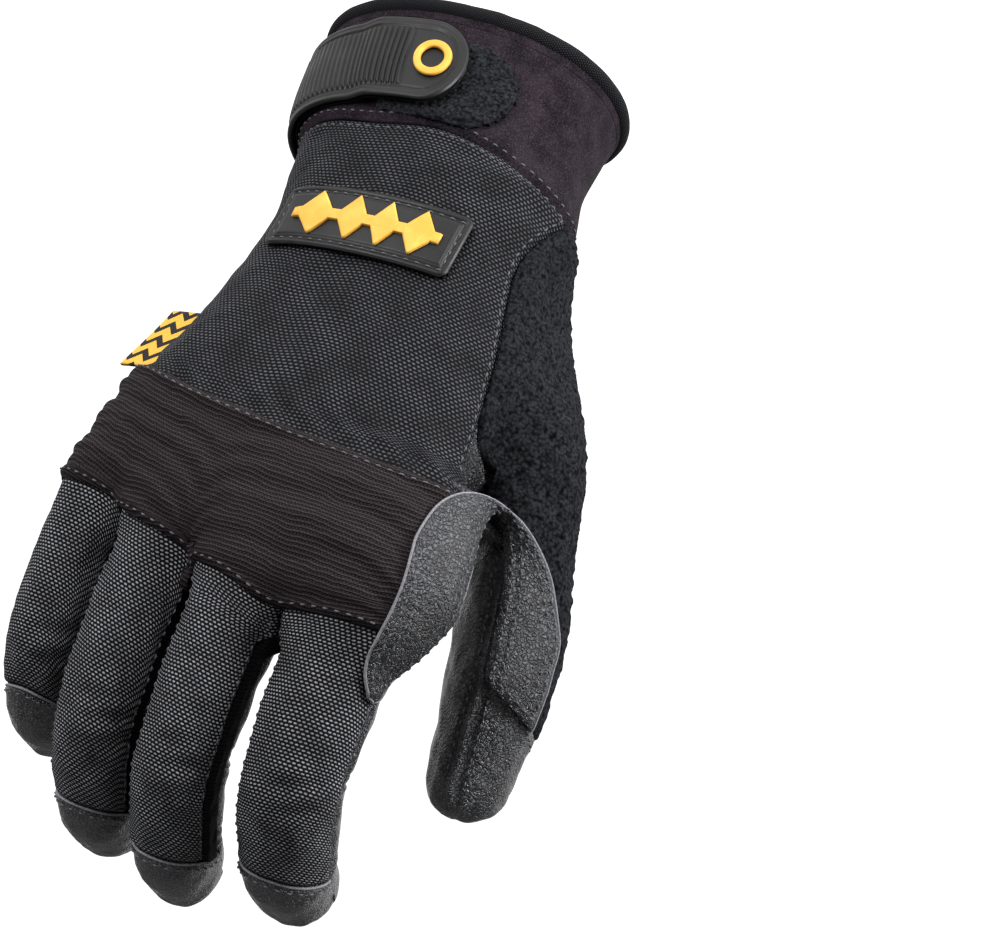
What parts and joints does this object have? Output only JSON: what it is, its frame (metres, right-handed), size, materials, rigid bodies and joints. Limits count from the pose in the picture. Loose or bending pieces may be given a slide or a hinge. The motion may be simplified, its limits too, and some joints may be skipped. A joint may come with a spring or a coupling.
{
  "type": "work glove",
  "caption": "Black right-hand work glove with leather palm pads, woven back, ribbed knuckle band, terry thumb side, curved fingers and a neoprene cuff with a rubber wrist strap.",
  "frame": {"origin": "centre of the wrist opening, in the plane of the cuff's rim", "axes": "+Z from the wrist opening toward the fingers, -Y out of the back of the hand, +X toward the little finger"},
  "size_m": [0.1182, 0.083, 0.2088],
  "materials": {
    "leather": "semi-gloss black grain leather with light cut edges",
    "woven_nylon": "black woven nylon with a fine grey dot grid",
    "ribbed_knit": "black ribbed stretch fabric",
    "fine_knit": "black fine knit",
    "terry": "black looped pile",
    "neoprene": "matt dark charcoal faced neoprene",
    "rubber": "satin black moulded rubber",
    "yellow_rubber": "amber yellow moulded rubber",
    "tag_fabric": "amber yellow woven ribbon"
  },
  "bodies": {
    "root": {"palm_leather": "leather", "back_panel": "woven_nylon", "knuckle_band": "ribbed_knit", "finger_back_index": "woven_nylon", "finger_back_middle": "woven_nylon", "finger_back_ring": "woven_nylon", "finger_back_little": "woven_nylon", "gusset_index_middle": "fine_knit", "gusset_middle_ring": "fine_knit", "gusset_ring_little": "fine_knit", "thumb_terry": "terry", "thumb_cap": "leather", "crotch_patch": "leather", "cuff": "neoprene", "cuff_binding": "fine_knit", "slit_gusset": "fine_knit", "slit_binding": "leather", "loop_patch": "terry", "strap": "rubber", "strap_emblem": "yellow_rubber", "badge_patch": "rubber", "badge_relief": "yellow_rubber", "knuckle_pad": "leather", "heel_pad": "leather", "thumb_pad": "leather", "side_tag": "tag_fabric"}
  },
  "joints": []
}
